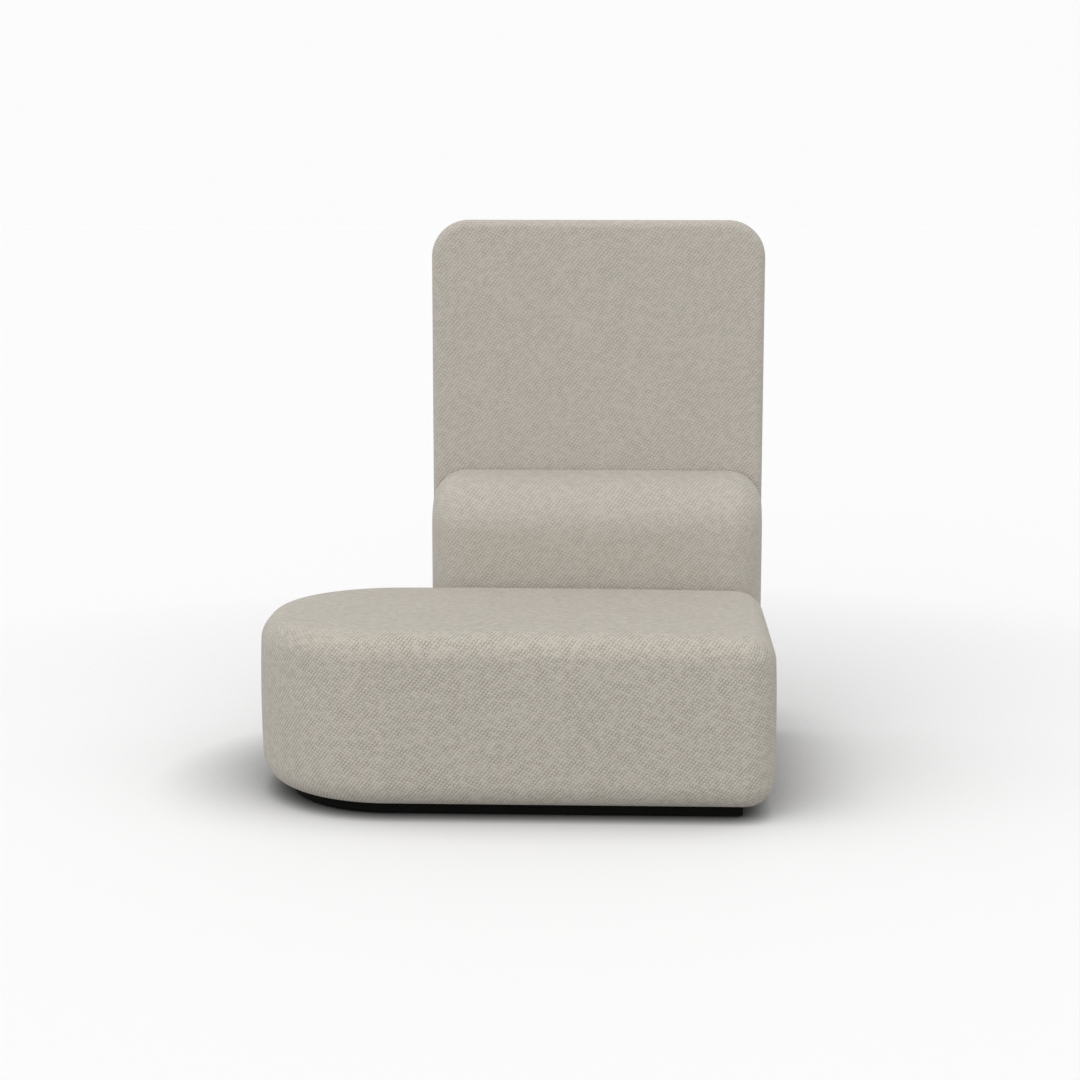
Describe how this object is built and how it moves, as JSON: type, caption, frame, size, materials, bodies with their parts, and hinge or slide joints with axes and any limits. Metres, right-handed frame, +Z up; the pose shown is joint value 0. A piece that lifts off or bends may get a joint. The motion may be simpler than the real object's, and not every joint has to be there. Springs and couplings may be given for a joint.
{
  "type": "chaise longue",
  "caption": "Upholstered lounge seat with one rounded open end, a low bolster and a tall thin back panel, on a recessed black plinth with levelling feet.",
  "frame": {"origin": "on the floor, at the middle of the whole outline", "axes": "+Z up, -Y towards the front, +X to the right as seen from the front"},
  "size_m": [1.2296, 0.895, 1.344],
  "materials": {
    "cover_fabric": "coarse diagonal weave, matt beige",
    "wadding": "white polyester wadding",
    "foam": "open-cell upholstery foam",
    "webbing": "elastic webbing",
    "zinc_steel": "zinc plated",
    "plinth_black": "black lacquered plywood",
    "foot_plastic": "black nylon pad on a steel stud",
    "plywood": "birch plywood"
  },
  "bodies": {
    "body": {"back_base_board": "plywood", "back_front_board": "plywood", "back_left_board": "plywood", "back_rear_board": "plywood", "back_right_board": "plywood", "back_top_board": "plywood", "bolster_cover": "cover_fabric", "bolster_foam": "foam", "bolster_wadding": "wadding", "leveller_inserts": "zinc_steel", "panel_bolts": "zinc_steel", "panel_core": "plywood", "panel_cover": "cover_fabric", "panel_edge_strip": "foam", "panel_foam_front": "foam", "panel_foam_rear": "foam", "panel_tee_nuts": "zinc_steel", "panel_washers": "zinc_steel", "plinth_back_rail": "plinth_black", "plinth_end_front_rail": "plinth_black", "plinth_end_rear_rail": "plinth_black", "plinth_front_rail": "plinth_black", "plinth_middle_rail": "plinth_black", "plinth_rear_rail": "plinth_black", "plinth_right_rail": "plinth_black", "plinth_screws": "zinc_steel", "seat_base_board": "plywood", "seat_corner_blocks": "plywood", "seat_cover": "cover_fabric", "seat_end_deck": "plywood", "seat_end_skin": "plywood", "seat_foam_core": "foam", "seat_foam_topper": "foam", "seat_front_rail": "plywood", "seat_rear_rail": "plywood", "seat_rib_left": "plywood", "seat_rib_middle": "plywood", "seat_rib_right": "plywood", "seat_right_rail": "plywood", "seat_side_foam": "foam", "seat_wadding": "wadding", "seat_webbing": "webbing"},
    "foot_back_left": {"foot_back_left": "foot_plastic"},
    "foot_back_right": {"foot_back_right": "foot_plastic"},
    "foot_end": {"foot_end": "foot_plastic"},
    "foot_front_left": {"foot_front_left": "foot_plastic"},
    "foot_front_right": {"foot_front_right": "foot_plastic"},
    "foot_rear_left": {"foot_rear_left": "foot_plastic"}
  },
  "joints": [
    {"name": "level_back_left", "type": "slide", "parent": "body", "child": "foot_back_left", "axis": [0, 0, -1], "range_m": [0, 0.01]},
    {"name": "level_back_right", "type": "slide", "parent": "body", "child": "foot_back_right", "axis": [0, 0, -1], "range_m": [0, 0.01]},
    {"name": "level_end", "type": "slide", "parent": "body", "child": "foot_end", "axis": [0, 0, -1], "range_m": [0, 0.01]},
    {"name": "level_front_left", "type": "slide", "parent": "body", "child": "foot_front_left", "axis": [0, 0, -1], "range_m": [0, 0.01]},
    {"name": "level_front_right", "type": "slide", "parent": "body", "child": "foot_front_right", "axis": [0, 0, -1], "range_m": [0, 0.01]},
    {"name": "level_rear_left", "type": "slide", "parent": "body", "child": "foot_rear_left", "axis": [0, 0, -1], "range_m": [0, 0.01]}
  ]
}
